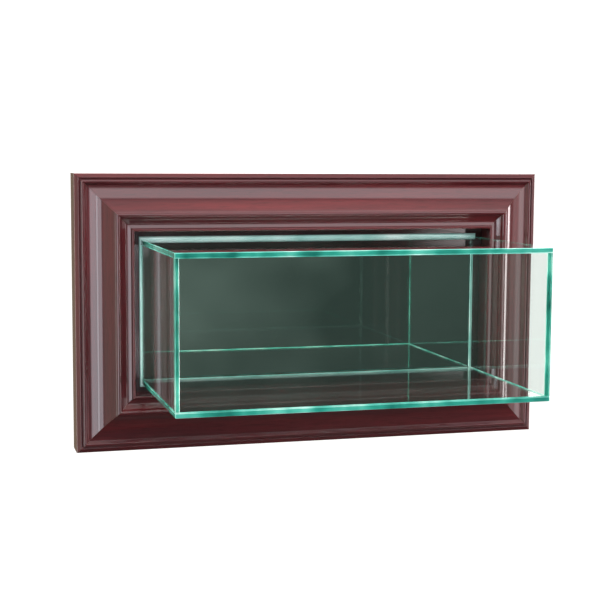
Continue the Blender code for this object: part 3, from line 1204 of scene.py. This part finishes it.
@dataclass
class TurnButtons:
    """Six flat buttons that turn on their screws to hold or free the back board."""

    pivot_radius: float = 5 * MM
    tip_radius: float = 3 * MM
    reach: float = 11 * MM
    hole_radius: float = 1.75 * MM
    ease: float = 0.3 * MM
    head_height: float = 1.9 * MM
    recess_turn: float = 30.0
    pointing: tuple[tuple[str, float], ...] = (
        ("top_left", -90),
        ("top_right", -90),
        ("bottom_left", 90),
        ("bottom_right", 90),
        ("left", 0),
        ("right", 180),
    )

    def outline(self) -> list[Vector]:
        """Draws the teardrop: two round ends and their tangents.

        Returns:
            The outline's points.
        """
        lean = degrees(acos((self.pivot_radius - self.tip_radius) / self.reach))
        big = arc(Vector((0.0, 0.0)), self.pivot_radius, lean, 360 - lean, 36)
        small = arc(Vector((self.reach, 0.0)), self.tip_radius, -lean, lean, 24)
        return big + small

    def build(self) -> None:
        """Builds each button on its own body, and its screw on the frame."""
        hinges = hinge_points()
        # Zinc plate on stamped steel: blue-white and half bright.
        zinc = [PlatedSteel("zinc_plate", "#9A9C98", "#C9CBC6").material()]
        hole = arc(Vector((0.0, 0.0)), self.hole_radius, 0, 345, 23)
        for place, pointing in self.pointing:
            node, body = f"turn_button_{place}", f"button_{place}"
            pivot = hinges[body]
            low, high = corners(node)
            mesh = plate([self.outline(), hole], high.y - low.y, self.ease)
            mesh.transform(facing_wall(pivot, pointing))
            add_piece(f"{node}_plate", mesh, zinc, body, [node])
            node = f"{node}_screw"
            low, high = corners(node)
            head = self.head_height
            mesh = CrossHeadScrew((high.x - low.x) / 2, head, high.y - low.y - head).mesh()
            seat = Vector((pivot.x, high.y - head, pivot.z))
            mesh.transform(facing_wall(seat, self.recess_turn))
            add_piece(f"{node}_cross_head", mesh, zinc, "root", [node])


@dataclass
class RingHangers:
    """Two D-ring hangers: a folded strap, a ring that swings on its bar, two screws.

    fold_tail is how the strap comes back on itself: millimetres out and down. Each screw
    has its place, its drop below the bar and the turn of its recess.
    """

    strap_thickness: float = 0.8 * MM
    strap_length: float = 30 * MM
    strap_ease: float = 0.15 * MM
    fold_gap: float = 0.3 * MM
    fold_tail: tuple[tuple[float, float], ...] = (
        (1.2, -2.6),
        (0.45, -4.2),
        (0.08, -5.2),
        (0.0, -6.2),
    )
    wire_radius: float = 1.1 * MM
    half_width: float = 6.6 * MM
    bow_height: float = 5 * MM
    corner_radius: float = 2 * MM
    head_height: float = 1.5 * MM
    screws: tuple[tuple[str, float, float], ...] = (
        ("upper", 12 * MM, 20.0),
        ("lower", 24 * MM, 65.0),
    )

    def ring_mesh(self) -> Mesh:
        """Bends a D of round wire in the local XZ plane, its bar along X through the origin.

        Returns:
            The ring's mesh.
        """
        corner, half = self.corner_radius, self.half_width
        flat = arc(Vector((half - corner, corner)), corner, -90, 0, 8)
        flat += arc(Vector((0.0, self.bow_height)), half, 0, 180, 40)
        flat += arc(Vector((corner - half, corner)), corner, 180, 270, 8)
        curve = closed_curve("ring", "3D", [[(p.x, 0.0, p.y) for p in flat]])
        curve.bevel_depth = self.wire_radius
        curve.bevel_resolution = 8
        return smooth(welded(evaluated_mesh(link_object("scratch", curve))), 60.0)

    def strap_mesh(self, width: float, axis_lift: float) -> Mesh:
        """Folds the strap round the bar, from its side view.

        Args:
            width: the strap's width.
            axis_lift: how far the bar's axis stands off the frame's back.

        Returns:
            The mesh, with the bar's axis above the local origin along +Y.
        """
        base = self.fold_gap + self.strap_thickness / 2
        upper = base + self.strap_thickness + self.fold_gap
        path = [Vector((base, -self.strap_length)), Vector((base, -0.5 * MM))]
        path += arc(Vector((axis_lift, 0.0)), axis_lift - base, 180, 0, 24)
        path += [Vector((upper + out * MM, down * MM)) for out, down in self.fold_tail]
        path.append(Vector((upper, -self.strap_length + MM)))
        verts = [(side * width / 2, p.x, p.y) for side in (-1, 1) for p in path]
        count = len(path)
        quads = [(i, i + 1, count + i + 1, count + i) for i in range(count - 1)]
        mesh = bpy.data.meshes.new("strap")
        mesh.from_pydata(verts, [], quads)
        item = link_object("scratch", mesh)
        sheet = item.modifiers.new("sheet", "SOLIDIFY")
        sheet.thickness = self.strap_thickness
        sheet.offset = 0.0
        sheet.use_even_offset = True
        edges = item.modifiers.new("eased", "BEVEL")
        edges.width = self.strap_ease
        edges.segments = 2
        edges.angle_limit = radians(50)
        return smooth(welded(evaluated_mesh(item)), 40.0)

    def build(self) -> None:
        """Builds the strap, the ring and the screws on each side."""
        hinges = hinge_points()
        back_y = corners("top_rail")[1].y
        # Nickel plate on bent steel: warm, bright and smooth.
        nickel = PlatedSteel("nickel_plate", "#A39E93", "#D2CCC0", smooth=0.10, rough=0.24)
        finish = [nickel.material()]
        for side in Side:
            body = f"ring_{side.value}"
            bar = hinges[body]
            mesh = self.ring_mesh()
            mesh.transform(Matrix.Translation(bar))
            node = f"hanger_ring_{side.value}"
            add_piece(f"{node}_wire", mesh, finish, body, [node])
            node = f"hanger_strap_{side.value}"
            low, high = corners(node)
            mesh = self.strap_mesh(high.x - low.x, bar.y - back_y)
            mesh.transform(Matrix.Translation((bar.x, back_y, bar.z)))
            add_piece(f"{node}_fold", mesh, finish, "root", [node])
            for place, drop, turn in self.screws:
                node = f"hanger_screw_{side.value}_{place}"
                low, high = corners(node)
                head = self.head_height
                mesh = CrossHeadScrew((high.x - low.x) / 2, head, high.y - low.y - head).mesh()
                seat = Vector((bar.x, high.y - head, bar.z - drop))
                mesh.transform(facing_wall(seat, turn))
                add_piece(f"{node}_cross_head", mesh, finish, "root", [node])


@dataclass
class WallBumpers:
    """Four rubber pads that keep the frame off the wall."""

    rounding: float = 1.2 * MM
    draft: float = 0.2 * MM
    foot: float = 0.3 * MM

    def build(self) -> None:
        """Builds the pads."""
        # Moulded black rubber: dark and dull, with a fine skin.
        rubber = MattSurface("bumper_rubber", "#18181A", "#232325", 0.5, 0.03, 0.65, 0.85)
        finish = [rubber.material()]
        nodes = [f"wall_bumper_{level.value}_{side.value}" for level in Level for side in Side]
        for node in nodes:
            low, high = corners(node)
            radius, height = (high.x - low.x) / 2, high.y - low.y
            centre = Vector((radius - self.rounding - self.draft, height - self.rounding))
            rounded = [tuple(p) for p in arc(centre, self.rounding, 90, 8, 10)]
            foot = [(radius, self.foot), (radius, 0.0), (0.0, 0.0)]
            mesh = turned([(0.0, height), *rounded, *foot], 64)
            middle = (low + high) / 2
            mesh.transform(facing_wall(Vector((middle.x, low.y, middle.z))))
            add_piece(f"{node}_pad", mesh, finish, "root", [node])


@dataclass
class CornerNails:
    """V-nails driven across the mitres, their ends just proud of the wood."""

    thickness: float = 0.6 * MM
    proud: float = 0.1 * MM
    ease: float = 0.08 * MM
    turns: tuple[tuple[Level, Side, float], ...] = (
        (Level.TOP, Side.RIGHT, 0),
        (Level.TOP, Side.LEFT, 90),
        (Level.BOTTOM, Side.LEFT, 180),
        (Level.BOTTOM, Side.RIGHT, 270),
    )

    def build(self) -> None:
        """Builds the eight nails."""
        # Rolled spring steel: grey and half bright.
        steel = [PlatedSteel("spring_steel", "#6F7072", "#9FA1A3").material()]
        back_y = corners("top_rail")[1].y
        half = self.thickness / 2
        upright = Matrix.Rotation(-pi / 2, 4, "X") @ Matrix.Rotation(-pi / 2, 4, "Z")
        for level, side, turn in self.turns:
            spin = Matrix.Rotation(-radians(turn), 4, "Y")
            for place in ("outer", "inner"):
                node = f"v_nail_{level.value}_{side.value}_{place}"
                low, high = corners(node)
                leg = high.x - low.x
                flat = [(-half, -half), (leg - half, -half), (leg - half, half)]
                flat += [(half, half), (half, leg - half), (-half, leg - half)]
                length = back_y + self.proud - low.y
                mesh = plate([[Vector(p) for p in flat]], length, self.ease)
                x = high.x - half if side is Side.LEFT else low.x + half
                z = high.z - half if level is Level.BOTTOM else low.z + half
                apex = Vector((x, low.y + length / 2, z))
                mesh.transform(Matrix.Translation(apex) @ spin @ upright)
                add_piece(f"{node}_steel", mesh, steel, "root", [node])


# The studio


@dataclass(frozen=True)
class SoftPanel:
    """A soft patch of light round the case, shown only in its gloss and glass.

    bearing is degrees to the right of straight ahead of the case, and rise is degrees up.
    """

    name: str
    bearing: float
    rise: float
    half_width: float
    half_height: float
    fade: float
    colour: str
    strength: float

    def mask(self, tree: Tree, bearing: Socket, rise: Socket) -> Socket:
        """Marks where the panel lies.

        Args:
            tree: the node tree.
            bearing: the direction's bearing in degrees.
            rise: the direction's rise in degrees.

        Returns:
            1 within the panel, falling softly to 0 past its edges.
        """
        spans = ((bearing, self.bearing, self.half_width), (rise, self.rise, self.half_height))
        masks = []
        for angle, middle, half in spans:
            off = add_node(tree, "Math", {0: angle, 1: middle}, operation="SUBTRACT")
            away = add_node(tree, "Math", {0: off}, operation="ABSOLUTE")
            inputs = {"Value": away, "From Min": half + self.fade, "From Max": half - self.fade}
            masks.append(add_node(tree, "MapRange", inputs, interpolation_type="SMOOTHSTEP"))
        return add_node(tree, "Math", dict(enumerate(masks)), operation="MULTIPLY")


@dataclass(frozen=True)
class Softbox:
    """A softbox near the case that isn't seen itself.

    A mirrored box shows as a highlight in gloss and glass; a scattered one only brightens.
    """

    name: str
    centre: tuple[float, float, float]
    width: float
    height: float
    fade: float
    colour: str
    strength: float
    tilt: float = 90.0
    mirrored: bool = True

    def material(self) -> Material:
        """Builds the lit diffuser, which fades over a share of its width at each side.

        Returns:
            The glowing material.
        """
        # White cloth over a lamp: even light that falls off softly at the cloth's edges.
        material, tree = new_material(self.name)
        place = add_node(tree, "TexCoord", out="Object")
        across = add_node(tree, "SeparateXYZ", {0: place})
        away = add_node(tree, "Math", {0: across}, operation="ABSOLUTE")
        inputs = {"Value": away, "From Min": 0.5, "From Max": 0.5 - self.fade}
        edge = add_node(tree, "MapRange", inputs, interpolation_type="SMOOTHSTEP")
        power = add_node(tree, "Math", {0: edge, 1: self.strength}, operation="MULTIPLY")
        inputs = {"Color": linear(self.colour), "Strength": power}
        glow = add_node(tree, "Emission", inputs)
        add_node(tree, "OutputMaterial", {"Surface": glow})
        return material

    def build(self) -> None:
        """Places the softbox."""
        shape = bmesh.new()
        bmesh.ops.create_grid(shape, x_segments=8, y_segments=8, size=0.5)
        mesh = to_mesh(shape, self.name)
        mesh.materials.append(self.material())
        item = link_object(self.name, mesh)
        item.location = self.centre
        item.rotation_euler = (radians(self.tilt), 0.0, 0.0)
        item.scale = (self.width, self.height, 1.0)
        item.visible_camera = False
        item.visible_transmission = False
        item.visible_glossy = self.mirrored
        item.visible_diffuse = not self.mirrored


@dataclass
class Studio:
    """A pale floor, a white surround with soft panels of light, and the camera."""

    seat_y: float
    floor_z: float = -0.90
    floor_radius: float = 1.0
    floor_thickness: float = 2 * MM
    lens_mm: float = 81.25
    camera_from_seat: tuple[float, float, float] = (-0.2812, -0.9817, 0.1125)
    yaw: float = 15.46
    pitch: float = 5.96
    roll: float = 0.289
    white: tuple[float, ...] = (1.15, 1.15, 1.13, 1.0)
    room_dark: str = "#3F4A47"
    room_light: str = "#6A7571"
    room_scale: float = 5.0
    panels: tuple[SoftPanel, ...] = (
        SoftPanel("left_edge", -112, 0, 12, 60, 4, "#F4F1EA", 7.0),
        SoftPanel("behind", -165, 0, 34, 60, 8, "#D8CDB0", 0.3),
        SoftPanel("backdrop_right", 150, 0, 52, 60, 8, "#FBF6F4", 2.6),
        SoftPanel("ceiling", 0, 68, 180, 22, 8, "#F6F0EE", 1.3),
        SoftPanel("behind_high_left", -140, 62, 50, 20, 8, "#F2F0F2", 3.4),
        SoftPanel("behind_high_right", 140, 62, 50, 20, 8, "#F2F0F2", 3.4),
        SoftPanel("front_high", 14, 28, 40, 14, 3, "#F2F0F4", 3.8),
        SoftPanel("right_far", 66, -4, 12, 24, 6, "#F6E9E9", 1.8),
        SoftPanel("right_near", 45, -4, 10, 24, 5, "#F8ECEE", 4.4),
        SoftPanel("right_strip", 100, -6, 6, 26, 3, "#FFF4F6", 10.0),
        SoftPanel("left_wall", -66, -5, 22, 30, 8, "#E0D8CC", 1.3),
    )
    boxes: tuple[Softbox, ...] = (
        Softbox("left_box", (-0.56, -0.78, -0.06), 0.60, 0.90, 0.12, "#EDEEF6", 5.4),
        Softbox("left_core", (-0.58, -0.775, -0.06), 0.11, 0.86, 0.20, "#EEF2FA", 8.5),
        Softbox("overhead", (0.0, -0.35, 1.0), 0.9, 0.7, 0.15, "#FFF6F0", 6.5, 0.0, False),
    )

    def build(self) -> None:
        """Builds the camera, the floor, the surround and the softboxes."""
        self.build_camera()
        self.build_floor()
        self.build_surround()
        for box in self.boxes:
            box.build()
        bpy.context.scene.view_settings.view_transform = "Standard"

    def build_camera(self) -> None:
        """Places the camera to the left of and above the case, with a long lens."""
        data = bpy.data.cameras.new("camera")
        data.sensor_width = 36.0
        data.lens = self.lens_mm
        data.clip_start = 0.01
        camera = link_object("camera", data)
        yaw, pitch = radians(self.yaw), radians(self.pitch)
        gaze = Vector((sin(yaw) * cos(pitch), cos(yaw) * cos(pitch), -sin(pitch)))
        x, y, z = self.camera_from_seat
        camera.location = (x, y + self.seat_y, z)
        aim = gaze.to_track_quat("-Z", "Y") @ Quaternion((0.0, 0.0, 1.0), radians(self.roll))
        camera.rotation_euler = aim.to_euler()
        bpy.context.scene.camera = camera

    def build_floor(self) -> None:
        """Lays a round sheet of white studio paper."""
        rim, under = self.floor_radius, -self.floor_thickness
        mesh = turned([(0.0, 0.0), (rim, 0.0), (rim, under), (0.0, under)], 96)
        floor = link_object("floor", mesh)
        floor.location = (0.0, -0.1, self.floor_z)
        paper = MattSurface("studio_paper", "#F0F0EE", "#F6F6F4", 6.0, 0.02, 0.85, 0.95)
        mesh.materials.append(paper.material())
        floor.visible_glossy = False
        floor.visible_diffuse = False

    def build_surround(self) -> None:
        """White where it is seen straight or through glass, a studio where it is mirrored."""
        world = bpy.data.worlds.new("studio")
        bpy.context.scene.world = world
        world.use_nodes = True
        tree = world.node_tree
        tree.nodes.clear()
        path = add_node(tree, "LightPath").node.outputs
        depths = {0: path["Ray Depth"], 1: path["Transmission Depth"]}
        turns = add_node(tree, "Math", depths, operation="SUBTRACT")
        straight = add_node(tree, "Math", {0: turns, 1: 1.5}, operation="LESS_THAN")
        inputs = {0: straight, 1: path["Is Transmission Ray"]}
        through = add_node(tree, "Math", inputs, operation="MULTIPLY")
        inputs = {0: through, 1: path["Is Camera Ray"]}
        seen = add_node(tree, "Math", inputs, operation="MAXIMUM")
        inputs = {"Factor": seen, "A": self.room(tree), "B": self.white}
        colour = add_node(tree, "Mix", inputs, data_type="RGBA")
        back = add_node(tree, "Background", {"Color": colour, "Strength": 1.0})
        add_node(tree, "OutputWorld", {"Surface": back})

    def room(self, tree: Tree) -> Socket:
        """Lays each soft panel over a dim, uneven room, by direction.

        Args:
            tree: the world's node tree.

        Returns:
            The room's colour.
        """
        place = add_node(tree, "TexCoord", out="Generated")
        x, y, z = add_node(tree, "SeparateXYZ", {0: place}).node.outputs
        front = add_node(tree, "Math", {0: y, 1: -1.0}, operation="MULTIPLY")
        round_case = add_node(tree, "Math", {0: x, 1: front}, operation="ARCTAN2")
        upwards = add_node(tree, "Math", {0: z}, operation="ARCSINE")
        bearing, rise = (
            add_node(tree, "Math", {0: angle, 1: 180 / pi}, operation="MULTIPLY")
            for angle in (round_case, upwards)
        )
        inputs = {"Vector": place, "Scale": self.room_scale, "Detail": 3.0, "Roughness": 0.55}
        clutter = add_node(tree, "TexNoise", inputs)
        stops = {0.40: self.room_dark, 0.60: self.room_light}
        colour = add_node(tree, "ValToRGB", {"Fac": clutter}, stops=stops)
        for panel in self.panels:
            glow = tuple(c * panel.strength for c in linear(panel.colour)[:3])
            mask = panel.mask(tree, bearing, rise)
            inputs = {"Factor": mask, "A": colour, "B": (*glow, 1.0)}
            colour = add_node(tree, "Mix", inputs, data_type="RGBA")
        return colour


def main() -> None:
    """Builds every sub-assembly around the frame."""
    logging.basicConfig(level=logging.INFO, format="%(name)s %(message)s")
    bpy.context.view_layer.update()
    moulding = MouldingFrame.from_frame()
    for assembly in (
        moulding,
        GlassHood.from_frame(),
        MirrorBack(),
        TurnButtons(),
        RingHangers(),
        WallBumpers(),
        CornerNails(),
        Studio(moulding.seat_y),
    ):
        assembly.build()
        log.info("built %s", type(assembly).__name__)


if __name__ == "__main__":
    main()
